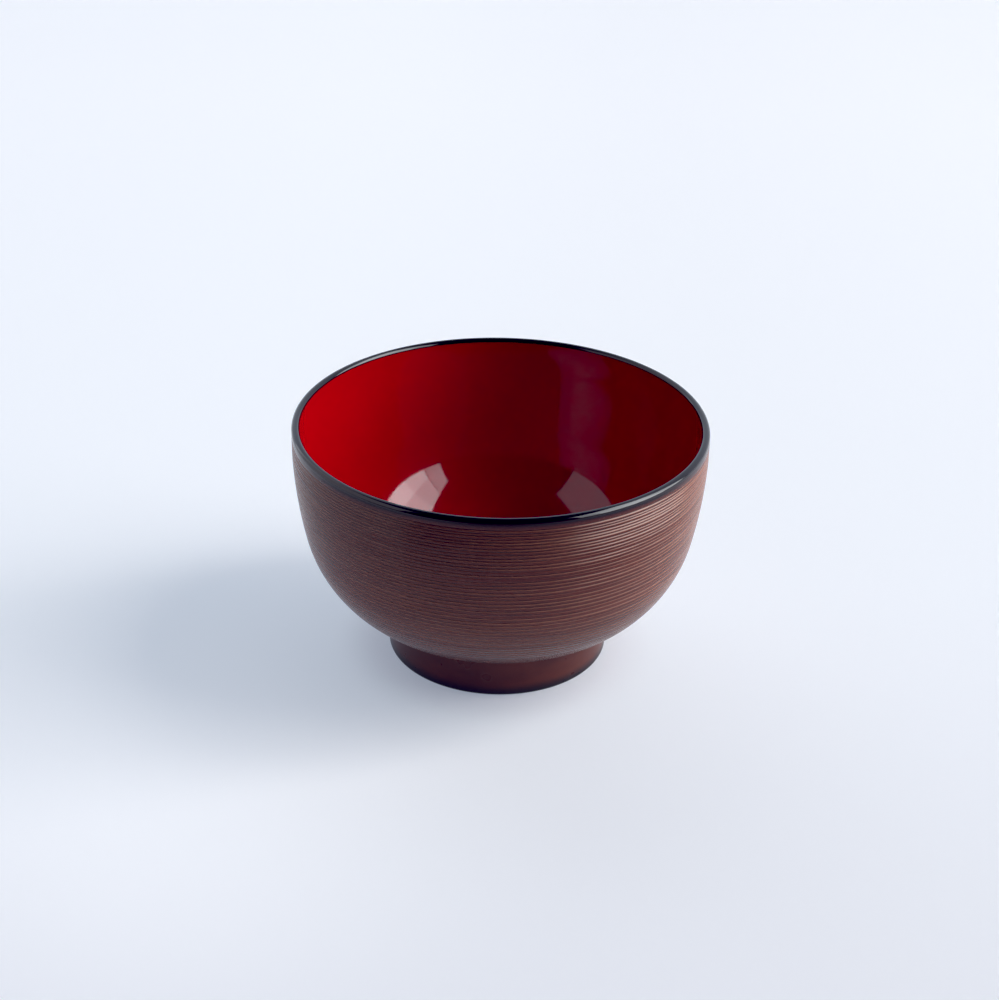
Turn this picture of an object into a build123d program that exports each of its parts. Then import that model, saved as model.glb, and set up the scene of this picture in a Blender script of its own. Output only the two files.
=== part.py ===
"""Footed rice bowl with a lacquer finish, 110 mm across and 67 mm high.

Every piece is a body of revolution about +Z, and the origin is the middle of the circle the
foot stands on. A bowl core and a foot ring carry six coats: red inside, black over the lip,
grooved brown outside, plain brown on the foot, black on the standing edge and in the recess.

Curves are chains of tangent arcs, each held as its centre, its radius and the slope at its two
ends. Slope is the direction of travel round the section against the horizontal: 0 along the
underside of a flat floor, 90 up the outside wall, 180 over the lip and 270 down the inside.
"""
import math
import os
from collections import namedtuple

from build123d import *

# Main sizes, in mm
BOWL_RADIUS = 55.0
BOWL_HEIGHT = 67.0
COAT = 0.35
GROOVED_COAT = 0.65

# Outside curve: arc radii, and the slopes where the arcs meet
LIP_OUTER_RADIUS = 1.16
LIP_INNER_RADIUS = 0.95
UPPER_RADIUS = 980.0
LEAN_RADIUS = 40.0
WALL_RADIUS = 127.5
BELLY_RADIUS = 35.2
LIP_SLOPE = math.radians(90.35)
LEAN_SLOPE = math.radians(87.4)
WALL_SLOPE = math.radians(77.8)

# Inside curve, from the lip down to the middle of the floor
INNER_LEAN_RADIUS = 60.0
INNER_WALL_RADIUS = 180.0
INNER_BELLY_RADIUS = 32.0
INNER_LIP_SLOPE = math.radians(92.0)
INNER_LEAN_SLOPE = math.radians(84.4)
INNER_WALL_SLOPE = math.radians(78.0)
INNER_FLOOR_SLOPE = math.radians(15.0)

# Black band on the outside of the lip, measured along the surface from its top
RIM_BAND = 1.95

# Foot ring and the recess under the floor
FOOT_TOP_RADIUS = 29.3
FOOT_BASE_RADIUS = 29.9
RECESS_RADIUS = 26.2
RECESS_DEPTH = 6.9
RECESS_FILLET = 0.8
EDGE_RADIUS = 1.0
EDGE_BAND = 2.7

# Turned grooves: distances run down the wall from the top of the lip
FIRST_GROOVE = 3.6
LAST_GROOVE = 57.0
GROOVE_PITCH = 0.78
PITCH_GROWTH = 0.018
PITCH_SWAY = 0.13
SWAY_RATE = 2.4
GROOVE_DEPTH = 0.08
DEPTH_SWING = 0.03
SWING_START = 4.0
SWING_LENGTH = 48.0
RUN_OUT = 0.3

UPRIGHT = math.radians(90.0)
OVER_LIP = math.radians(180.0)
INNER_LIP_END = OVER_LIP + INNER_LIP_SLOPE

Arc = namedtuple("Arc", "cx cz radius low high")


def at(arc, slope, inset=0.0):
    """Point (r, z) of the arc at this slope, moved towards its centre by the inset."""
    reach = arc.radius - inset
    return (arc.cx + reach * math.sin(slope), arc.cz - reach * math.cos(slope))


def chain(point, slope, steps):
    """Tangent arcs from a first point; each step is a radius and the slope the arc ends at."""
    arcs = []
    for radius, end in steps:
        cx = point[0] - radius * math.sin(slope)
        cz = point[1] + radius * math.cos(slope)
        arcs.append(Arc(cx, cz, radius, min(slope, end), max(slope, end)))
        point = at(arcs[-1], end)
        slope = end
    return arcs


def through(first, middle, last):
    """Round edge through three points of the half section."""
    return ThreePointArc(*((r, 0, z) for r, z in (first, middle, last)))


def straight(*points):
    """Straight edges joining points of the half section."""
    return [Line((a[0], 0, a[1]), (b[0], 0, b[1])) for a, b in zip(points, points[1:])]


def falling(arcs, inset=0.0):
    """Edges along a chain in the order it is listed, from high slope to low."""
    ends = [(arc, arc.high, (arc.high + arc.low) / 2, arc.low) for arc in arcs]
    return [through(*(at(arc, slope, inset) for slope in slopes)) for arc, *slopes in ends]


def rising(arcs, inset=0.0):
    """Edges along the same chain the other way, from low slope to high."""
    ends = [(arc, arc.low, (arc.high + arc.low) / 2, arc.high) for arc in reversed(arcs)]
    return [through(*(at(arc, slope, inset) for slope in slopes)) for arc, *slopes in ends]


def turned(edges):
    """Solid of revolution about +Z from the edges of a closed half section."""
    return revolve(make_face(Wire(edges)), axis=Axis.Z)


def station(arcs, distance):
    """The arc and the slope this far along a falling chain."""
    for arc in arcs:
        length = arc.radius * (arc.high - arc.low)
        if distance <= length:
            return arc, arc.high - distance / arc.radius
        distance -= length
    raise ValueError("the chain is shorter than that")


def split(arcs, distance):
    """A falling chain cut in two this far along it."""
    arc, slope = station(arcs, distance)
    place = arcs.index(arc)
    return arcs[:place] + [arc._replace(low=slope)], [arc._replace(high=slope)] + arcs[place + 1:]


def groove_places():
    """Distances of the grooves down the wall. The pitch is uneven and widens downwards."""
    places = []
    place = FIRST_GROOVE
    while place < LAST_GROOVE:
        places.append(place)
        count = len(places)
        place += GROOVE_PITCH + PITCH_GROWTH * count + PITCH_SWAY * math.sin(SWAY_RATE * count)
    return places


def groove_depth(distance):
    """Depth of a groove: most under the lip, least at mid height, more again below."""
    turn = 2 * math.pi * (distance - SWING_START) / SWING_LENGTH
    return GROOVE_DEPTH + DEPTH_SWING * math.cos(turn)


def beads(arcs, places):
    """Edges down the wall that swell in a low bead between each groove and the next."""
    bottoms = [at(*station(arcs, place), groove_depth(place)) for place in places]
    tops = [at(*station(arcs, (a + b) / 2)) for a, b in zip(places, places[1:])]
    return [through(*bead) for bead in zip(bottoms, tops, bottoms[1:])]


# Outside curve, set out from its widest circle up to the lip and down to the floor
lip_steps = [(UPPER_RADIUS, LIP_SLOPE), (LIP_OUTER_RADIUS, OVER_LIP), (LIP_INNER_RADIUS, INNER_LIP_END)]
lip_rise = at(chain((BOWL_RADIUS, 0.0), UPRIGHT, lip_steps)[1], OVER_LIP)[1]
widest = (BOWL_RADIUS, BOWL_HEIGHT - lip_rise)
upper, lip_outer, lip_inner = chain(widest, UPRIGHT, lip_steps)
lower_steps = [(LEAN_RADIUS, LEAN_SLOPE), (WALL_RADIUS, WALL_SLOPE), (BELLY_RADIUS, 0.0)]
lean, wall, belly = chain(widest, UPRIGHT, lower_steps)

# The belly stops where the foot begins, and its coat ends square to the surface there
belly_end = math.asin((FOOT_TOP_RADIUS - belly.cx) / BELLY_RADIUS)
belly = belly._replace(low=belly_end)
foot_top = at(belly, belly_end)
shoulder = at(belly, belly_end, GROOVED_COAT)
outside = [lip_outer, upper, lean, wall, belly]

# Inside curve, down to a shallow round floor
inner_steps = [
    (INNER_LEAN_RADIUS, INNER_LEAN_SLOPE),
    (INNER_WALL_RADIUS, INNER_WALL_SLOPE),
    (INNER_BELLY_RADIUS, INNER_FLOOR_SLOPE),
]
inside = chain(at(lip_inner, INNER_LIP_END), INNER_LIP_SLOPE, inner_steps)
floor_edge = at(inside[-1], INNER_FLOOR_SLOPE)
floor_radius = floor_edge[0] / math.sin(INNER_FLOOR_SLOPE)
inside += chain(floor_edge, INNER_FLOOR_SLOPE, [(floor_radius, 0.0)])
floor_face = at(inside[-1], 0.0)
floor_back = at(inside[-1], 0.0, -COAT)

# Foot: a side that leans in a little, standing on two rounded corners
outer_corner = Arc(FOOT_BASE_RADIUS - EDGE_RADIUS, EDGE_RADIUS, EDGE_RADIUS, 0.0, UPRIGHT)
inner_corner = Arc(RECESS_RADIUS + EDGE_RADIUS, EDGE_RADIUS, EDGE_RADIUS, -UPRIGHT, 0.0)
run = foot_top[0] - outer_corner.cx
rise = foot_top[1] - EDGE_RADIUS
side_slope = UPRIGHT + math.atan2(rise, run) - math.acos(EDGE_RADIUS / math.hypot(rise, run))
outer_corner = outer_corner._replace(high=side_slope)
plug_radius = RECESS_RADIUS + COAT
ceiling_back = RECESS_DEPTH + COAT


def foot_side(z, inset=0.0):
    """Point on the leaning side of the foot at this height."""
    r, start = at(outer_corner, side_slope, inset)
    return (r - (z - start) * math.tan(side_slope - UPRIGHT), z)


def standing_edge(inset=0.0):
    """Edges from the foot's side round the standing edge to the recess wall."""
    return (
        falling([outer_corner], inset)
        + straight(at(outer_corner, 0.0, inset), at(inner_corner, 0.0, inset))
        + falling([inner_corner], inset)
    )


rim_band, brown_band = split(outside, RIM_BAND)
rim_arc = rim_band[-1]
band_end = rim_arc.low

bowl_core = turned(
    rising(brown_band, GROOVED_COAT)
    + straight(at(rim_arc, band_end, GROOVED_COAT), at(rim_arc, band_end, COAT))
    + rising(rim_band, COAT)
    + rising([lip_inner], COAT)
    + falling(inside, -COAT)
    + straight(
        floor_back,
        (0.0, ceiling_back),
        (plug_radius, ceiling_back),
        (plug_radius, shoulder[1]),
        shoulder,
    )
)

foot_ring = turned(
    straight(shoulder, foot_top, foot_side(foot_top[1], COAT), at(outer_corner, side_slope, COAT))
    + standing_edge(COAT)
    + straight(at(inner_corner, -UPRIGHT, COAT), (plug_radius, shoulder[1]), shoulder)
)

rim_coat = turned(
    rising(rim_band)
    + rising([lip_inner])
    + straight(at(lip_inner, INNER_LIP_END), at(lip_inner, INNER_LIP_END, COAT))
    + falling([lip_inner], COAT)
    + falling(rim_band, COAT)
    + straight(at(rim_arc, band_end, COAT), at(rim_arc, band_end))
)

inner_coat = turned(
    falling(inside)
    + straight(floor_face, floor_back)
    + rising(inside, -COAT)
    + straight(at(inside[0], INNER_LIP_SLOPE, -COAT), at(inside[0], INNER_LIP_SLOPE))
)

# The first and last grooves have only one steep side, and run out into the plain wall
grooves = groove_places()
plain_top = split(split(outside, grooves[0] - RUN_OUT)[0], RIM_BAND)[1]
plain_bottom = split(outside, grooves[-1] + RUN_OUT)[1]
first_groove = at(*station(outside, grooves[0]), groove_depth(grooves[0]))
last_groove = at(*station(outside, grooves[-1]), groove_depth(grooves[-1]))
outer_coat = turned(
    falling(plain_top)
    + straight(at(plain_top[-1], plain_top[-1].low), first_groove)
    + beads(outside, grooves)
    + straight(last_groove, at(plain_bottom[0], plain_bottom[0].high))
    + falling(plain_bottom)
    + straight(foot_top, shoulder)
    + rising(brown_band, GROOVED_COAT)
    + straight(at(rim_arc, band_end, GROOVED_COAT), at(rim_arc, band_end))
)

foot_coat = turned(
    straight(
        foot_side(EDGE_BAND),
        foot_top,
        foot_side(foot_top[1], COAT),
        foot_side(EDGE_BAND, COAT),
        foot_side(EDGE_BAND),
    )
)

foot_edge_coat = turned(
    straight(foot_side(EDGE_BAND), at(outer_corner, side_slope))
    + standing_edge()
    + straight(
        at(inner_corner, -UPRIGHT),
        (RECESS_RADIUS, EDGE_BAND),
        (plug_radius, EDGE_BAND),
        at(inner_corner, -UPRIGHT, COAT),
    )
    + rising([inner_corner], COAT)
    + straight(at(inner_corner, 0.0, COAT), at(outer_corner, 0.0, COAT))
    + rising([outer_corner], COAT)
    + straight(at(outer_corner, side_slope, COAT), foot_side(EDGE_BAND, COAT), foot_side(EDGE_BAND))
)

fillet = Arc(RECESS_RADIUS - RECESS_FILLET, RECESS_DEPTH - RECESS_FILLET, RECESS_FILLET, UPRIGHT, OVER_LIP)
recess_coat = turned(
    straight((RECESS_RADIUS, EDGE_BAND), at(fillet, UPRIGHT))
    + rising([fillet])
    + straight(
        at(fillet, OVER_LIP),
        (0.0, RECESS_DEPTH),
        (0.0, ceiling_back),
        (plug_radius, ceiling_back),
        (plug_radius, EDGE_BAND),
        (RECESS_RADIUS, EDGE_BAND),
    )
)

pieces = {
    "bowl_core": bowl_core,
    "foot_ring": foot_ring,
    "inner_coat": inner_coat,
    "rim_coat": rim_coat,
    "outer_coat": outer_coat,
    "foot_coat": foot_coat,
    "foot_edge_coat": foot_edge_coat,
    "recess_coat": recess_coat,
}

os.makedirs("parts", exist_ok=True)
for name, piece in pieces.items():
    export_step(piece, f"parts/{name}.step")
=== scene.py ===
"""Lacquered rice bowl standing on a pale table beside a tall window.

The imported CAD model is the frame: the width, the height and the levels of the bands come from its
boxes, and the arcs are those of the CAD. Each solid is turned here as a finer mesh with its own
finish. Lengths are in metres.
"""

import math

import bpy
from mathutils import Matrix, Vector, noise


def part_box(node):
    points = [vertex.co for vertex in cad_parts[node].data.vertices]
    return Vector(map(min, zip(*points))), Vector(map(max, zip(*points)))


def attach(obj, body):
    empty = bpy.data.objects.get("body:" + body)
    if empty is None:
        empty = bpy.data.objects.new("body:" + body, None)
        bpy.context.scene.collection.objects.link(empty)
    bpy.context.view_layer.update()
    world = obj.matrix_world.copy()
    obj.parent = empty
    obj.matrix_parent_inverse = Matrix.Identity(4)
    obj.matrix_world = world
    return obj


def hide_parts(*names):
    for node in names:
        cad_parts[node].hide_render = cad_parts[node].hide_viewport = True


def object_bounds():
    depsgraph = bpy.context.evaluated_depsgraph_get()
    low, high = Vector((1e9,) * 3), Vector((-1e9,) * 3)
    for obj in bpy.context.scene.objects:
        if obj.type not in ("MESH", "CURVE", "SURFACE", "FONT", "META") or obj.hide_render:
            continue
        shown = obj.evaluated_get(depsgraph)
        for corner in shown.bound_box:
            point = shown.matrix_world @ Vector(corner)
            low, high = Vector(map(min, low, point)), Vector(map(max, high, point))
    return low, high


MM = 0.001
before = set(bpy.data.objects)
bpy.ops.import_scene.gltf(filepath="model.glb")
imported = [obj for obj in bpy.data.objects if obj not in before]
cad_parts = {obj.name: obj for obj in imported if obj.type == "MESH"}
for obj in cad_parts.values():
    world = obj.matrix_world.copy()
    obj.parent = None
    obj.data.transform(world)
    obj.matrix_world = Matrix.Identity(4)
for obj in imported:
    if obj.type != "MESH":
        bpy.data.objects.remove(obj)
cad_low, cad_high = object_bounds()

# ---------------------------------------------------------------- sizes from the frame

BOWL_RADIUS = (cad_high.x - cad_low.x) / 2
BOWL_HEIGHT = cad_high.z
BAND_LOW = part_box("rim_coat")[0].z
FOOT_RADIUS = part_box("foot_edge_coat")[1].x
EDGE_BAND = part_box("foot_edge_coat")[1].z
FOOT_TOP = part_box("foot_coat")[1].z

COAT = 0.35 * MM
GROOVED_COAT = 0.65 * MM

LIP_OUTER_RADIUS = 1.16 * MM
LIP_INNER_RADIUS = 0.95 * MM
UPPER_RADIUS = 980.0 * MM
LEAN_RADIUS = 40.0 * MM
WALL_RADIUS = 127.5 * MM
BELLY_RADIUS = 35.2 * MM
LIP_SLOPE = math.radians(90.35)
LEAN_SLOPE = math.radians(87.4)
WALL_SLOPE = math.radians(77.8)

INNER_LEAN_RADIUS = 60.0 * MM
INNER_WALL_RADIUS = 180.0 * MM
INNER_BELLY_RADIUS = 32.0 * MM
INNER_LIP_SLOPE = math.radians(92.0)
INNER_LEAN_SLOPE = math.radians(84.4)
INNER_WALL_SLOPE = math.radians(78.0)
INNER_FLOOR_SLOPE = math.radians(15.0)

RIM_BAND = 1.95 * MM
FOOT_TOP_RADIUS = 29.3 * MM
RECESS_RADIUS = 26.2 * MM
RECESS_DEPTH = 6.9 * MM
RECESS_FILLET = 0.8 * MM
EDGE_RADIUS = 1.0 * MM

FIRST_GROOVE = 3.6 * MM
LAST_GROOVE = 57.0 * MM
GROOVE_PITCH = 0.78 * MM
PITCH_GROWTH = 0.018 * MM
PITCH_SWAY = 0.13 * MM
SWAY_RATE = 2.4
GROOVE_DEPTH = 0.155 * MM
DEPTH_SWING = 0.02 * MM
SWING_START = 4.0 * MM
SWING_LENGTH = 48.0 * MM

# Edge lengths of the meshes along the half section. Hidden backs are coarser than what is seen.
RIM_STEP = 0.12 * MM
LIP_STEP = 0.1 * MM
RIM_BACK_STEP = 0.2 * MM
INSIDE_STEP = 0.8 * MM
INSIDE_BACK_STEP = 3 * MM
CORNER_STEP = 0.12 * MM
CORNER_BACK_STEP = 0.25 * MM
FILLET_STEP = 0.15 * MM
PLAIN_STEP = 0.8 * MM
GROOVED_BACK_STEP = 6 * MM
BODY_STEP = 4 * MM
BODY_RIM_STEP = 0.4 * MM
RING_STEP = 0.3 * MM
SIDE_STEPS = 10
SIDE_BACK_STEPS = 4
EDGE_STEPS = 3
CEILING_STEPS = 12

# Number of faces around each mesh.
FINEST_AROUND = 320
FINE_AROUND = 256
PLAIN_AROUND = 192
SHARP_ANGLE = math.radians(50)
TOUCHING = 1e-7
ON_AXIS = 1e-9

UPRIGHT = math.radians(90.0)
OVER_LIP = math.radians(180.0)
INNER_LIP_END = OVER_LIP + INNER_LIP_SLOPE


# ---------------------------------------------------------------- tangent arcs, as in the CAD


class Arc:
    """Part of a circle in the half section, between two slopes of travel."""

    def __init__(self, cx, cz, radius, low, high):
        self.cx, self.cz, self.radius, self.low, self.high = cx, cz, radius, low, high

    def at(self, slope, inset=0.0):
        reach = self.radius - inset
        return (self.cx + reach * math.sin(slope), self.cz - reach * math.cos(slope))

    def length(self):
        return self.radius * (self.high - self.low)

    def between(self, low, high):
        return Arc(self.cx, self.cz, self.radius, low, high)


def chain(point, slope, steps):
    """Tangent arcs from a first point; each step is a radius and the slope the arc ends at."""
    arcs = []
    for radius, end in steps:
        cx = point[0] - radius * math.sin(slope)
        cz = point[1] + radius * math.cos(slope)
        arcs.append(Arc(cx, cz, radius, min(slope, end), max(slope, end)))
        point = arcs[-1].at(end)
        slope = end
    return arcs


def station(arcs, distance):
    """The arc and the slope this far along a falling chain."""
    for arc in arcs:
        if distance <= arc.length():
            return arc, arc.high - distance / arc.radius
        distance -= arc.length()
    return arcs[-1], arcs[-1].low


def split(arcs, distance):
    """A falling chain cut in two this far along it."""
    arc, slope = station(arcs, distance)
    place = arcs.index(arc)
    upper = arcs[:place] + [arc.between(slope, arc.high)]
    return upper, [arc.between(arc.low, slope)] + arcs[place + 1:]


def falling(arcs, step, inset=0.0):
    """Points down a chain, about one step apart, both ends included."""
    points = []
    for arc in arcs:
        count = max(2, round(arc.length() / step))
        for i in range(count + 1):
            point = arc.at(arc.high + (arc.low - arc.high) * i / count, inset)
            if not points or math.dist(points[-1], point) > TOUCHING:
                points.append(point)
    return points


def rising(arcs, step, inset=0.0):
    return falling(arcs, step, inset)[::-1]


lip_steps = [
    (UPPER_RADIUS, LIP_SLOPE),
    (LIP_OUTER_RADIUS, OVER_LIP),
    (LIP_INNER_RADIUS, INNER_LIP_END),
]
lip_rise = chain((BOWL_RADIUS, 0.0), UPRIGHT, lip_steps)[1].at(OVER_LIP)[1]
widest = (BOWL_RADIUS, BOWL_HEIGHT - lip_rise)
upper_wall, lip_outer, lip_inner = chain(widest, UPRIGHT, lip_steps)
lower_steps = [(LEAN_RADIUS, LEAN_SLOPE), (WALL_RADIUS, WALL_SLOPE), (BELLY_RADIUS, 0.0)]
lean, wall, belly = chain(widest, UPRIGHT, lower_steps)
belly = belly.between(math.asin((FOOT_TOP_RADIUS - belly.cx) / BELLY_RADIUS), belly.high)
foot_top = belly.at(belly.low)
shoulder = belly.at(belly.low, GROOVED_COAT)
outside = [lip_outer, upper_wall, lean, wall, belly]

inner_steps = [
    (INNER_LEAN_RADIUS, INNER_LEAN_SLOPE),
    (INNER_WALL_RADIUS, INNER_WALL_SLOPE),
    (INNER_BELLY_RADIUS, INNER_FLOOR_SLOPE),
]
inside = chain(lip_inner.at(INNER_LIP_END), INNER_LIP_SLOPE, inner_steps)
floor_edge = inside[-1].at(INNER_FLOOR_SLOPE)
floor_radius = floor_edge[0] / math.sin(INNER_FLOOR_SLOPE)
inside += chain(floor_edge, INNER_FLOOR_SLOPE, [(floor_radius, 0.0)])

outer_corner = Arc(FOOT_RADIUS - EDGE_RADIUS, EDGE_RADIUS, EDGE_RADIUS, 0.0, UPRIGHT)
inner_corner = Arc(RECESS_RADIUS + EDGE_RADIUS, EDGE_RADIUS, EDGE_RADIUS, -UPRIGHT, 0.0)
run = foot_top[0] - outer_corner.cx
rise = foot_top[1] - EDGE_RADIUS
side_slope = UPRIGHT + math.atan2(rise, run) - math.acos(EDGE_RADIUS / math.hypot(rise, run))
outer_corner = outer_corner.between(0.0, side_slope)
plug_radius = RECESS_RADIUS + COAT
ceiling_back = RECESS_DEPTH + COAT


def foot_side(z, inset=0.0):
    """Point on the leaning side of the foot at this height."""
    r, start = outer_corner.at(side_slope, inset)
    return (r - (z - start) * math.tan(side_slope - UPRIGHT), z)


def evenly(first, last, count):
    """Points from one to the other, without the last."""
    return [tuple(a + (b - a) * i / count for a, b in zip(first, last)) for i in range(count)]


# ---------------------------------------------------------------- turned meshes


def turned(name, outline, around, lift=None):
    """Closed mesh of revolution. lift(r, z, index, angle) may move a point of the outline."""
    on_axis = [abs(r) < ON_AXIS for r, z in outline]
    vertices = []
    rings = []
    for index, (r, z) in enumerate(outline):
        if on_axis[index]:
            rings.append([len(vertices)] * around)
            vertices.append((0.0, 0.0, z))
            continue
        rings.append(list(range(len(vertices), len(vertices) + around)))
        for k in range(around):
            angle = 2 * math.pi * k / around
            pr, pz = lift(r, z, index, angle) if lift else (r, z)
            vertices.append((pr * math.cos(angle), pr * math.sin(angle), pz))
    faces = []
    count = len(outline)
    for j in range(count):
        a, b = rings[j], rings[(j + 1) % count]
        if on_axis[j] and on_axis[(j + 1) % count]:
            continue
        for k in range(around):
            n = (k + 1) % around
            corners = [a[k], a[n], b[n], b[k]]
            faces.append([v for i, v in enumerate(corners) if v not in corners[:i]])
    mesh = bpy.data.meshes.new(name)
    mesh.from_pydata(vertices, [], faces)
    mesh.validate()
    area = sum((b[0] - a[0]) * (b[1] + a[1]) for a, b in zip(outline, outline[1:] + outline[:1]))
    if area < 0:
        mesh.flip_normals()
    mesh.polygons.foreach_set("use_smooth", [True] * len(mesh.polygons))
    mesh.set_sharp_from_angle(angle=SHARP_ANGLE)
    mesh.update()
    piece = bpy.data.objects.new(name, mesh)
    bpy.context.scene.collection.objects.link(piece)
    return piece


# ---------------------------------------------------------------- materials


def new_material(name):
    """A material, its node tree and the shader in it."""
    material = bpy.data.materials.new(name)
    material.use_nodes = True
    tree = material.node_tree
    shader = next(n for n in tree.nodes if n.type == "BSDF_PRINCIPLED")
    return material, tree, shader


def add(tree, kind, inputs=None, **settings):
    node = tree.nodes.new(kind)
    for key, value in settings.items():
        setattr(node, key, value)
    for key, value in (inputs or {}).items():
        if isinstance(value, bpy.types.NodeSocket):
            tree.links.new(value, node.inputs[key])
        else:
            node.inputs[key].default_value = value
    return node


def noise_of(tree, scale, detail, stretch=(1, 1, 1)):
    """Noise over the piece's own coordinates, with each axis scaled first."""
    mapped = add(tree, "ShaderNodeMapping", {"Vector": place_of(tree), "Scale": stretch})
    inputs = {"Vector": mapped.outputs["Vector"], "Scale": scale, "Detail": detail}
    return add(tree, "ShaderNodeTexNoise", inputs).outputs["Fac"]


def ranged(tree, value, low, high, to_low=0.0, to_high=1.0, smooth=True):
    inputs = {"Value": value, "From Min": low, "From Max": high, "To Min": to_low, "To Max": to_high}
    kind = "SMOOTHSTEP" if smooth else "LINEAR"
    return add(tree, "ShaderNodeMapRange", inputs, interpolation_type=kind).outputs["Result"]


def mixed(tree, factor, first, second):
    """Colour between two, by the factor."""
    node = add(tree, "ShaderNodeMix", data_type="RGBA")
    for socket, value in ((0, factor), (6, first), (7, second)):
        if isinstance(value, bpy.types.NodeSocket):
            tree.links.new(value, node.inputs[socket])
        else:
            node.inputs[socket].default_value = value if socket == 0 else (*value, 1.0)
    return node.outputs[2]


def place_of(tree):
    return add(tree, "ShaderNodeTexCoord").outputs["Object"]


def along_axis(tree, axis):
    return add(tree, "ShaderNodeSeparateXYZ", {"Vector": place_of(tree)}).outputs[axis]


def flat_place(tree):
    """The place with its height taken away."""
    inputs = {0: place_of(tree), 1: (1.0, 1.0, 0.0)}
    return add(tree, "ShaderNodeVectorMath", inputs, operation="MULTIPLY").outputs["Vector"]


def from_axis(tree):
    """Distance from the bowl's axis."""
    inputs = {0: flat_place(tree)}
    return add(tree, "ShaderNodeVectorMath", inputs, operation="LENGTH").outputs["Value"]


def painted(tree, shader, colour):
    tree.links.new(colour, shader.inputs["Base Color"])


def attribute_of(tree, name):
    return add(tree, "ShaderNodeAttribute", attribute_name=name).outputs["Fac"]


# Most of the noise lies between these two values.
NOISE_LOW = 0.3
NOISE_HIGH = 0.7


def roughened(tree, shader, grain, smoothest, roughest):
    """Roughness that wanders between two values with the grain."""
    value = ranged(tree, grain, NOISE_LOW, NOISE_HIGH, smoothest, roughest)
    tree.links.new(value, shader.inputs["Roughness"])


def bumped(tree, shader, height, strength, distance):
    inputs = {"Height": height, "Strength": strength, "Distance": distance}
    bump = add(tree, "ShaderNodeBump", inputs)
    tree.links.new(bump.outputs["Normal"], shader.inputs["Normal"])


RED = (0.42, 0.0, 0.003)
BRIGHT_RED = (0.48, 0.0, 0.004)


def red_gloss():
    """Deep red gloss with slow waves in the coat."""
    material, tree, shader = new_material("red_gloss")
    painted(tree, shader, mixed(tree, noise_of(tree, scale=28.0, detail=3.0), RED, BRIGHT_RED))
    roughened(tree, shader, noise_of(tree, scale=260.0, detail=2.0), 0.055, 0.075)
    waves = noise_of(tree, scale=90.0, detail=1.0)
    bumped(tree, shader, waves, strength=0.04, distance=0.5 * MM)
    return material


GLOSS_BLACK = (0.002, 0.001, 0.002)
GLOSS_GREY = (0.004, 0.003, 0.004)


def black_gloss():
    """Black gloss of the band over the lip."""
    material, tree, shader = new_material("black_gloss")
    cloud = noise_of(tree, scale=60.0, detail=2.0)
    painted(tree, shader, mixed(tree, cloud, GLOSS_BLACK, GLOSS_GREY))
    roughened(tree, shader, noise_of(tree, scale=300.0, detail=2.0), 0.06, 0.10)
    waves = noise_of(tree, scale=400.0, detail=1.0)
    bumped(tree, shader, waves, strength=0.05, distance=0.2 * MM)
    return material


BROWN = (0.092, 0.017, 0.008)
LIGHT_BROWN = (0.122, 0.024, 0.011)
# Painted shade in the grooves, and a painted highlight on their lower edges.
GROOVE_SHADE = (0.014, 0.004, 0.002)
EDGE_HIGHLIGHT = (0.39, 0.19, 0.135)
PALE_SPECK = (0.22, 0.085, 0.055)
# Painted shade: the brown darkens low on the belly, towards the foot.
BELLY_SHADE = (0.030, 0.006, 0.004)
UNDER_RIM = (0.004, 0.002, 0.004)
DARK_FROM = FOOT_TOP - 4.0 * MM
DARK_TO = FOOT_TOP + 25.0 * MM
RIM_SHADE_FROM = BAND_LOW - 1.6 * MM
RIM_SHADE_TO = BAND_LOW + 0.1 * MM
BROWN_SPECULAR = 0.29


def grooved_brown():
    """Satin brown, with painted shade in the grooves and low down, a painted highlight on the lower
    edge of each groove, and shading into black under the rim.
    """
    material, tree, shader = new_material("grooved_brown")
    streak = noise_of(tree, scale=40.0, detail=4.0, stretch=(1, 1, 14))
    brown = mixed(tree, ranged(tree, streak, NOISE_LOW, NOISE_HIGH), BROWN, LIGHT_BROWN)
    # Painted shade in each groove and a painted highlight on its lower edge, from the shares kept on
    # the mesh.
    cut = ranged(tree, attribute_of(tree, "groove"), 0.1, 0.75, to_high=0.95)
    edge = ranged(tree, attribute_of(tree, "edge"), 0.1, 0.9, to_high=0.85)
    shaded_and_lit_brown = mixed(tree, edge, mixed(tree, cut, brown, GROOVE_SHADE), EDGE_HIGHLIGHT)
    speckle = ranged(tree, noise_of(tree, scale=1500.0, detail=1.0), 0.56, 0.72, to_high=0.25)
    grained = mixed(tree, speckle, shaded_and_lit_brown, PALE_SPECK)
    height = along_axis(tree, "Z")
    # Painted shade low on the belly, growing towards the foot.
    low = ranged(tree, height, DARK_FROM, DARK_TO, smooth=False)
    belly_shaded = mixed(tree, low, BELLY_SHADE, grained)
    rim = ranged(tree, height, RIM_SHADE_FROM, RIM_SHADE_TO)
    painted(tree, shader, mixed(tree, rim, belly_shaded, UNDER_RIM))
    shader.inputs["Specular IOR Level"].default_value = BROWN_SPECULAR
    roughened(tree, shader, noise_of(tree, scale=120.0, detail=3.0, stretch=(1, 1, 5)), 0.18, 0.25)
    grain = noise_of(tree, scale=1100.0, detail=3.0, stretch=(1, 1, 2.5))
    bumped(tree, shader, grain, strength=0.25, distance=0.06 * MM)
    return material


FOOT_BROWN = (0.070, 0.012, 0.004)
FOOT_LIGHT_BROWN = (0.099, 0.019, 0.006)
FOOT_SHADE_BLACK = (0.006, 0.003, 0.004)
FOOT_BLACK = (0.004, 0.002, 0.003)
FOOT_GREY = (0.010, 0.006, 0.007)
BLACK_BELOW = 0.9 * MM
BROWN_ABOVE = 3.8 * MM
BLACK_WITHIN = RECESS_RADIUS + 1.2 * MM
BROWN_BEYOND = RECESS_RADIUS + 2.2 * MM
FOOT_SPECULAR = 0.32


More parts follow.
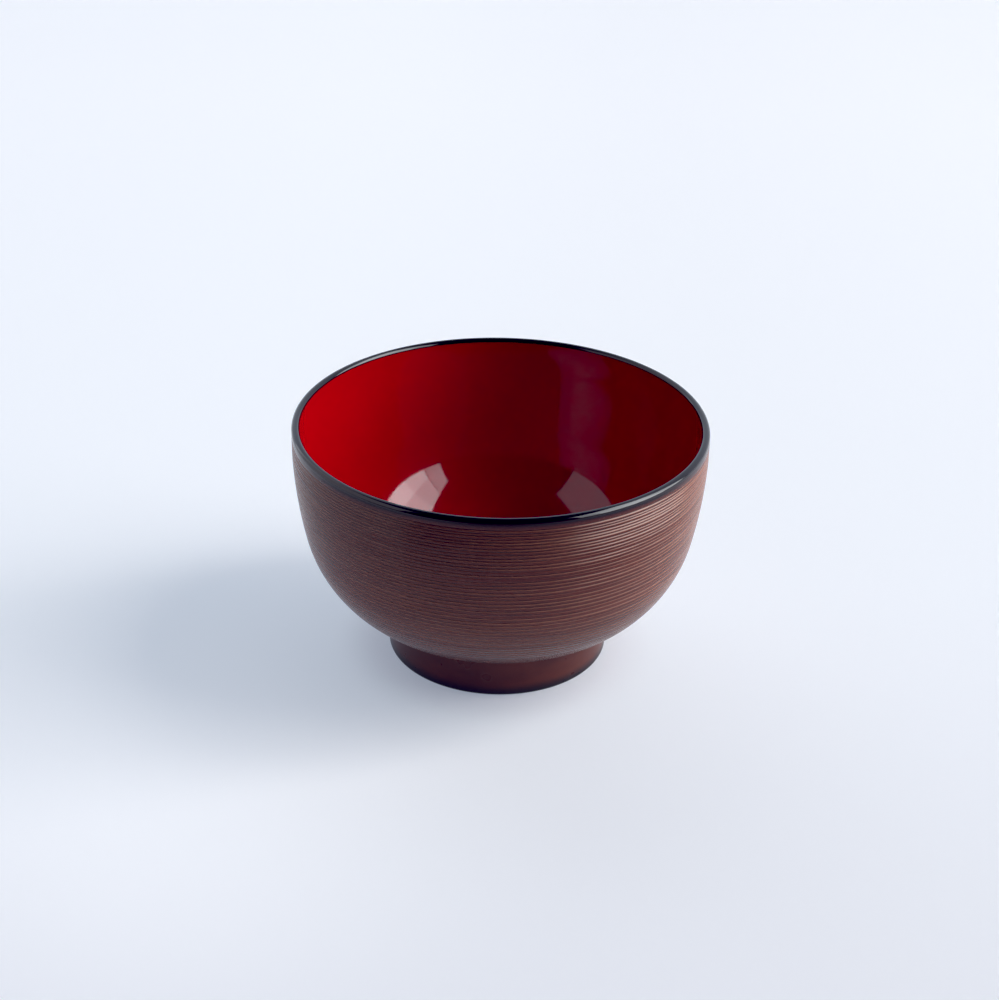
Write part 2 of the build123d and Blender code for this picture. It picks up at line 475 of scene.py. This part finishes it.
def foot_satin(name, black_of):
    """Smooth brown satin that turns black towards the bottom and is black inside the ring."""
    material, tree, shader = new_material(name)
    black = black_of(tree)
    cloud = noise_of(tree, scale=60.0, detail=4.0, stretch=(1, 1, 3))
    brown = mixed(tree, ranged(tree, cloud, NOISE_LOW, NOISE_HIGH), FOOT_BROWN, FOOT_LIGHT_BROWN)
    low = ranged(tree, along_axis(tree, "Z"), BLACK_BELOW, BROWN_ABOVE)
    side = ranged(tree, from_axis(tree), BLACK_WITHIN, BROWN_BEYOND)
    painted(tree, shader, mixed(tree, side, black, mixed(tree, low, black, brown)))
    shader.inputs["Specular IOR Level"].default_value = FOOT_SPECULAR
    roughened(tree, shader, noise_of(tree, scale=200.0, detail=2.0), 0.27, 0.34)
    grain = noise_of(tree, scale=900.0, detail=2.0)
    bumped(tree, shader, grain, strength=0.12, distance=0.05 * MM)
    return material


def foot_brown():
    """Finish of the foot's side."""
    return foot_satin("foot_brown", lambda tree: FOOT_SHADE_BLACK)


def foot_black():
    """Finish of the standing edge and the recess, with a faint cloud in the black."""
    def clouded(tree):
        return mixed(tree, noise_of(tree, scale=70.0, detail=3.0), FOOT_BLACK, FOOT_GREY)

    return foot_satin("foot_black", clouded)


RESIN = (0.13, 0.07, 0.035)
FIBRE = (0.28, 0.17, 0.09)


def moulded_core():
    """Wood-flour resin: brown, with fine pale fibres."""
    material, tree, shader = new_material("moulded_core")
    fibre = ranged(tree, noise_of(tree, scale=500.0, detail=4.0, stretch=(1, 1, 0.3)), 0.45, 0.7)
    painted(tree, shader, mixed(tree, fibre, RESIN, FIBRE))
    tree.links.new(ranged(tree, fibre, 0.0, 1.0, 0.65, 0.8), shader.inputs["Roughness"])
    bumped(tree, shader, fibre, strength=0.2, distance=0.1 * MM)
    return material


# ---------------------------------------------------------------- the pieces


def groove_places():
    """Distances of the grooves down the wall. The pitch is uneven and widens downwards."""
    places = []
    place = FIRST_GROOVE
    while place < LAST_GROOVE:
        places.append(place)
        count = len(places)
        place += GROOVE_PITCH + PITCH_GROWTH * count + PITCH_SWAY * math.sin(SWAY_RATE * count)
    return places


def groove_depth(distance):
    """Depth of a groove: most under the lip, least at mid height, more again below."""
    turn = 2 * math.pi * (distance - SWING_START) / SWING_LENGTH
    return GROOVE_DEPTH + DEPTH_SWING * math.cos(turn)


# Distance from a groove's middle, share of its depth, then how far the place shows painted shade in
# the groove and how far it shows the painted highlight on its lower edge.
GROOVE_PROFILE = [
    (-0.26 * MM, 0.0, 0.1, 0.0),
    (-0.17 * MM, 0.15, 0.8, 0.0),
    (-0.05 * MM, 1.0, 1.0, 0.0),
    (0.04 * MM, 0.95, 0.5, 0.3),
    (0.19 * MM, 0.15, 0.0, 1.0),
    (0.31 * MM, 0.0, 0.0, 0.3),
]
STRENGTH = 1.12
STRENGTH_CHANGE = 0.9
WEAKEST = 0.15
STRONGEST = 1.5
FADES_AROUND = 1.5
FADES_APART = 3.7


def finish_piece(piece, node, material):
    piece.data.materials.append(material)
    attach(piece, "root")
    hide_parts(node)


def groove_strength(number, angle):
    """How strongly this groove is cut at this angle round the bowl."""
    x, y = FADES_AROUND * math.cos(angle), FADES_AROUND * math.sin(angle)
    change = noise.noise(Vector((x, y, FADES_APART * number)))
    return min(max(STRENGTH + STRENGTH_CHANGE * change, WEAKEST), STRONGEST)


def groove_marks():
    """Distance down the wall, depth, painted shade share, painted highlight share and groove number;
    -1 is plain.
    """
    marks = [(RIM_BAND, 0.0, 0.0, 0.0, -1)]
    for number, place in enumerate(groove_places()):
        for offset, share, cut, edge in GROOVE_PROFILE:
            marks.append((place + offset, share * groove_depth(place), cut, edge, number))
    last = marks[-1][0]
    plain = sum(arc.length() for arc in outside) - last
    count = round(plain / PLAIN_STEP)
    return marks + [(last + plain * (i + 1) / count, 0.0, 0.0, 0.0, -1) for i in range(count)]


def make_grooved_coat():
    """The brown outside: narrow grooves cut between low lands, each fading in and out."""
    outline = []
    cuts = []
    for distance, depth, cut, edge, number in groove_marks():
        arc, slope = station(outside, distance)
        outline.append(arc.at(slope))
        cuts.append((math.sin(slope), -math.cos(slope), depth, cut, edge, number))
    front = len(outline)
    outline += rising(split(outside, RIM_BAND)[1], GROOVED_BACK_STEP, GROOVED_COAT)
    groove_shade_values = []
    edge_highlight_values = []

    def lift(r, z, index, angle):
        if index >= front or cuts[index][-1] < 0:
            groove_shade_values.append(0.0)
            edge_highlight_values.append(0.0)
            return r, z
        out_r, out_z, depth, cut, edge, number = cuts[index]
        strength = groove_strength(number, angle)
        groove_shade_values.append(cut * strength)
        edge_highlight_values.append(edge * strength)
        return r - out_r * depth * strength, z - out_z * depth * strength

    piece = turned("grooved_coat", outline, FINEST_AROUND, lift)
    # Shares of painted shade and painted highlight, kept on the mesh for the colour.
    for name, values in (("groove", groove_shade_values), ("edge", edge_highlight_values)):
        attribute = piece.data.attributes.new(name, "FLOAT", "POINT")
        attribute.data.foreach_set("value", values)
    finish_piece(piece, "outer_coat", grooved_brown())


def make_rim_band():
    """The black band, from its lower edge outside over the lip to the red."""
    upper = split(outside, RIM_BAND)[0]
    outline = rising(upper, RIM_STEP) + rising([lip_inner], LIP_STEP)[1:]
    outline += falling([lip_inner], RIM_BACK_STEP, COAT) + falling(upper, RIM_BACK_STEP, COAT)[1:]
    piece = turned("rim_band", outline, FINEST_AROUND)
    finish_piece(piece, "rim_coat", black_gloss())


def make_red_inside():
    """The red coat over the wall and floor inside."""
    outline = falling(inside, INSIDE_STEP) + rising(inside, INSIDE_BACK_STEP, -COAT)
    finish_piece(turned("red_inside", outline, FINE_AROUND), "inner_coat", red_gloss())


def make_foot_side():
    """The brown coat on the leaning side of the foot."""
    bottom, top = foot_side(EDGE_BAND), foot_side(foot_top[1], COAT)
    outline = evenly(bottom, foot_top, SIDE_STEPS) + [foot_top]
    outline += evenly(top, foot_side(EDGE_BAND, COAT), SIDE_BACK_STEPS) + [foot_side(EDGE_BAND, COAT)]
    piece = turned("foot_side", outline, FINE_AROUND)
    finish_piece(piece, "foot_coat", foot_brown())


def make_standing_edge(black):
    """The rounded black edge that the bowl stands on."""
    outline = evenly(foot_side(EDGE_BAND), outer_corner.at(side_slope), EDGE_STEPS)
    outline += falling([outer_corner], CORNER_STEP) + falling([inner_corner], CORNER_STEP)
    outline += [(RECESS_RADIUS, EDGE_BAND), (plug_radius, EDGE_BAND)]
    outline += rising([inner_corner], CORNER_BACK_STEP, COAT)
    outline += rising([outer_corner], CORNER_BACK_STEP, COAT) + [foot_side(EDGE_BAND, COAT)]
    piece = turned("standing_edge", outline, FINE_AROUND)
    finish_piece(piece, "foot_edge_coat", black)


def make_recess_lining(black):
    """The black coat on the wall and ceiling of the recess under the foot."""
    ceiling = RECESS_RADIUS - RECESS_FILLET
    fillet = Arc(ceiling, RECESS_DEPTH - RECESS_FILLET, RECESS_FILLET, UPRIGHT, OVER_LIP)
    outline = [(RECESS_RADIUS, EDGE_BAND)] + rising([fillet], FILLET_STEP)
    steps = range(1, CEILING_STEPS + 1)
    outline += [(ceiling * (1 - i / CEILING_STEPS), RECESS_DEPTH) for i in steps]
    outline += [(0.0, ceiling_back), (plug_radius, ceiling_back), (plug_radius, EDGE_BAND)]
    piece = turned("recess_lining", outline, PLAIN_AROUND)
    finish_piece(piece, "recess_coat", black)


def make_bowl_body(core):
    """The body under the coats: wall and floor in one."""
    upper, lower = split(outside, RIM_BAND)
    outline = rising(lower, BODY_STEP, GROOVED_COAT) + rising(upper, BODY_RIM_STEP, COAT)
    outline += rising([lip_inner], RIM_BACK_STEP, COAT)[1:]
    outline += falling(inside, INSIDE_BACK_STEP, -COAT)
    outline += [(0.0, ceiling_back), (plug_radius, ceiling_back), (plug_radius, shoulder[1])]
    finish_piece(turned("bowl_body", outline, PLAIN_AROUND), "bowl_core", core)


def make_foot_body(core):
    """The ring under the coats of the foot."""
    outline = [shoulder, foot_top, foot_side(foot_top[1], COAT)]
    outline += falling([outer_corner], RING_STEP, COAT) + falling([inner_corner], RING_STEP, COAT)
    outline += [(plug_radius, shoulder[1])]
    finish_piece(turned("foot_body", outline, PLAIN_AROUND), "foot_ring", core)


def make_pieces():
    make_rim_band()
    make_red_inside()
    make_foot_side()
    black = foot_black()
    make_standing_edge(black)
    make_recess_lining(black)
    make_grooved_coat()
    core = moulded_core()
    make_bowl_body(core)
    make_foot_body(core)


make_pieces()

# ---------------------------------------------------------------- table, light and camera


SHEET_END = -0.165
SHEET_EDGE = 0.02
SHEET_WHITE = (0.63, 0.62, 0.635)
SHEET_BRIGHT = (0.65, 0.64, 0.655)
BEYOND_SHEET = (0.26, 0.15, 0.055)
TABLE_REACH = 8.0

# Painted light: the sheet glows with the light that a pale room throws back onto it: weakest in front
# and painted shade close to the foot, stronger behind, lifted where the bowl shades it and fainter
# towards the window.
NO_GLOW = (0.0, 0.0, 0.0)
GLOW_FRONT = (0.256, 0.297, 0.370)
GLOW_MIDDLE = (0.352, 0.407, 0.482)
GLOW_BACK = (0.400, 0.445, 0.515)
GLOW_AT_FOOT = (0.25, 0.285, 0.35)
GLOW_LIFT = (0.085, 0.085, 0.085)
GLOW_FAINTER = (0.90, 0.905, 0.91)
FRONT_SPAN = (-0.17, 0.03)
BACK_SPAN = (0.05, 0.5)
FOOT_SPAN = (FOOT_RADIUS, FOOT_RADIUS + 0.016)
LIFT_SPAN = (0.01, 0.11)
WINDOW_SPAN = (-0.1, 0.1)
SHADE_MIDDLE = (-0.075, -0.075, 0.0)


def sheet_glow(tree, depth):
    """Colour of the painted light that each place on the sheet glows with, in place of the light
    thrown back onto it.
    """
    glow = mixed(tree, ranged(tree, depth, *FRONT_SPAN, smooth=False), GLOW_FRONT, GLOW_MIDDLE)
    glow = mixed(tree, ranged(tree, depth, *BACK_SPAN, smooth=False), glow, GLOW_BACK)
    glow = mixed(tree, ranged(tree, from_axis(tree), *FOOT_SPAN), GLOW_AT_FOOT, glow)
    inputs = {0: flat_place(tree), 1: SHADE_MIDDLE}
    offset = add(tree, "ShaderNodeVectorMath", inputs, operation="DISTANCE").outputs["Value"]
    lifted = add(tree, "ShaderNodeVectorMath", {0: glow, 1: GLOW_LIFT}, operation="ADD")
    glow = mixed(tree, ranged(tree, offset, *LIFT_SPAN), lifted.outputs["Vector"], glow)
    fainter = add(tree, "ShaderNodeVectorMath", {0: glow, 1: GLOW_FAINTER}, operation="MULTIPLY")
    across = ranged(tree, along_axis(tree, "X"), *WINDOW_SPAN)
    return mixed(tree, across, glow, fainter.outputs["Vector"])


def table_material():
    """A white sheet that glows with painted light, with a brown table top in front of it."""
    material, tree, shader = new_material("pale_table")
    depth = along_axis(tree, "Y")
    on_sheet = ranged(tree, depth, SHEET_END - SHEET_EDGE, SHEET_END)
    white = mixed(tree, noise_of(tree, scale=1.3, detail=2.0), SHEET_WHITE, SHEET_BRIGHT)
    painted(tree, shader, mixed(tree, on_sheet, BEYOND_SHEET, white))
    # Painted light: the sheet's glow, with painted shade close to the foot and a painted lift in the
    # bowl's shadow.
    glow = mixed(tree, on_sheet, NO_GLOW, sheet_glow(tree, depth))
    tree.links.new(glow, shader.inputs["Emission Color"])
    shader.inputs["Emission Strength"].default_value = 1.0
    shader.inputs["Roughness"].default_value = 0.75
    shader.inputs["Specular IOR Level"].default_value = 0.2
    return material


def make_table():
    reach = TABLE_REACH
    mesh = bpy.data.meshes.new("table")
    corners = [(-reach, -reach, 0), (reach, -reach, 0), (reach, reach, 0), (-reach, reach, 0)]
    mesh.from_pydata(corners, [], [(0, 1, 2, 3)])
    mesh.materials.append(table_material())
    table = bpy.data.objects.new("table", mesh)
    bpy.context.scene.collection.objects.link(table)


make_table()


def panel(name, azimuth, distance, left, right, bottom, top, radiance, colour):
    """Upright area light facing the bowl across one azimuth. left and right are along it."""
    across = math.radians(azimuth)
    facing = Vector((math.cos(across), math.sin(across), 0))
    side = Vector((-math.sin(across), math.cos(across), 0))
    light = bpy.data.lights.new(name, "AREA")
    light.shape = "RECTANGLE"
    light.size = right - left
    light.size_y = top - bottom
    light.energy = radiance * math.pi * light.size * light.size_y
    light.color = colour
    lamp = bpy.data.objects.new(name, light)
    lamp.location = facing * distance + side * (left + right) / 2
    lamp.location.z = (bottom + top) / 2
    lamp.rotation_mode = "QUATERNION"
    lamp.rotation_quaternion = facing.to_track_quat("Z", "Y")
    lamp.visible_camera = False
    bpy.context.scene.collection.objects.link(lamp)
    return lamp


# A panel is made twice: one lamp lights the scene and isn't mirrored, and one is only mirrored.
# The mirrored one stands a little nearer, so that the other doesn't hide it.
NEARER = 0.02


def lit_panel(*settings):
    panel(*settings).visible_glossy = False


def mirrored_panel(*settings):
    glint = panel(*settings)
    glint.visible_diffuse = False
    glint.location *= 1 - NEARER


WINDOW_AZIMUTH = 12.0
WINDOW_DISTANCE = 3.0
SILL = 0.25
TRANSOM = 0.9 * WINDOW_DISTANCE
HEAD = 1.67 * WINDOW_DISTANCE
DAYLIGHT = (0.93, 0.97, 1.0)
SOFT_DAYLIGHT = (1.0, 0.965, 0.92)

# Name, first and last azimuth in degrees, then the radiance as light, as mirrored below the
# transom and as mirrored above it.
PANES = [
    ("pane_right", 2, 18, 10.0, 6.0, 8.0),
    ("pane_middle", -20, 2, 5.1, 8.6, 6.5),
    ("pane_left", -37, -20, 0.2, 7.0, 5.5),
    ("pane_side", -49, -37.8, 0.1, 3.5, 4.0),
]

# The pale board on the other side: azimuth, distance, left, right, bottom and top.
BOARD = (180, 3.0, -3.0, 2.4, 0.0, 4.2)
BOARD_RADIANCE = 0.12
BOARD_SHEEN = 1.1
BOARD_COLOUR = (0.95, 0.98, 1.0)
BOARD_SHEEN_COLOUR = (1.0, 0.97, 1.0)


def along_window(azimuth):
    """Place on the window wall that is seen from the bowl at this azimuth."""
    return WINDOW_DISTANCE * math.tan(math.radians(azimuth - WINDOW_AZIMUTH))


def make_lamps():
    for name, first, last, radiance, low_sheen, high_sheen in PANES:
        place = (WINDOW_AZIMUTH, WINDOW_DISTANCE, along_window(first), along_window(last))
        lit_panel(name, *place, SILL, HEAD, radiance, SOFT_DAYLIGHT)
        mirrored_panel(f"{name}_low", *place, SILL, TRANSOM, low_sheen, DAYLIGHT)
        mirrored_panel(f"{name}_high", *place, TRANSOM, HEAD, high_sheen, DAYLIGHT)
    lit_panel("board", *BOARD, BOARD_RADIANCE, BOARD_COLOUR)
    mirrored_panel("board_glint", *BOARD, BOARD_SHEEN, BOARD_SHEEN_COLOUR)


make_lamps()

# The pale backdrop behind the bowl, in degrees of azimuth and of height, in a dark room.
ROOM_DARK = (0.02, 0.02, 0.025)
BACKDROP_LOW = (0.86, 0.95, 1.08)
BACKDROP_HIGH = (0.85, 0.92, 1.02)
BACKDROP_STARTS = (18, 26)
BACKDROP_ENDS = (144, 136)
BACKDROP_CHANGES = (18, 32)
BACKDROP_TOP = (52, 66)


def make_room():
    world = bpy.data.worlds.new("room")
    bpy.context.scene.world = world
    world.use_nodes = True
    tree = world.node_tree
    way = add(tree, "ShaderNodeTexCoord").outputs["Generated"]
    parts = add(tree, "ShaderNodeSeparateXYZ", {"Vector": way}).outputs
    inputs = {0: parts["Y"], 1: parts["X"]}
    azimuth = add(tree, "ShaderNodeMath", inputs, operation="ARCTAN2").outputs[0]
    starts = ranged(tree, azimuth, *map(math.radians, BACKDROP_STARTS))
    ends = ranged(tree, azimuth, *map(math.radians, BACKDROP_ENDS))
    behind = add(tree, "ShaderNodeMath", {0: starts, 1: ends}, operation="MULTIPLY").outputs[0]

    def rising_over(span):
        low, high = (math.sin(math.radians(height)) for height in span)
        return ranged(tree, parts["Z"], low, high)

    backdrop = mixed(tree, rising_over(BACKDROP_CHANGES), BACKDROP_LOW, BACKDROP_HIGH)
    backdrop = mixed(tree, rising_over(BACKDROP_TOP), backdrop, ROOM_DARK)
    ground = tree.nodes["Background"]
    tree.links.new(mixed(tree, behind, ROOM_DARK, backdrop), ground.inputs["Color"])
    ground.inputs["Strength"].default_value = 1.0


make_room()

FOCAL_LENGTH = 71.5284
SENSOR_WIDTH = 36.0
NEAR_CLIP = 0.01
FAR_CLIP = 50.0
CAMERA_AT = Vector((0.0, -470.65, 295.87)) * MM
PITCH = math.radians(28.24)
ROLL = math.radians(1.038)
BLACK_LEVEL = (0.008, 0.010, -0.0003)


def make_camera():
    """The camera, at the photograph's place, looking down at the bowl and rolled a little."""
    forward = Vector((0.0, math.cos(PITCH), -math.sin(PITCH)))
    level = Vector((1.0, 0.0, 0.0))
    upward = level.cross(forward)
    x_axis = math.cos(ROLL) * level + math.sin(ROLL) * upward
    y_axis = -math.sin(ROLL) * level + math.cos(ROLL) * upward
    lens = bpy.data.cameras.new("camera")
    lens.lens = FOCAL_LENGTH
    lens.sensor_width = SENSOR_WIDTH
    lens.sensor_fit = "AUTO"
    lens.clip_start = NEAR_CLIP
    lens.clip_end = FAR_CLIP
    camera = bpy.data.objects.new("camera", lens)
    axes = Matrix((x_axis, y_axis, -forward)).transposed().to_4x4()
    camera.matrix_world = Matrix.Translation(CAMERA_AT) @ axes
    bpy.context.scene.collection.objects.link(camera)
    bpy.context.scene.camera = camera


make_camera()
view = bpy.context.scene.view_settings
view.view_transform = "Standard"
view.use_curve_mapping = True
view.curve_mapping.black_level = BLACK_LEVEL
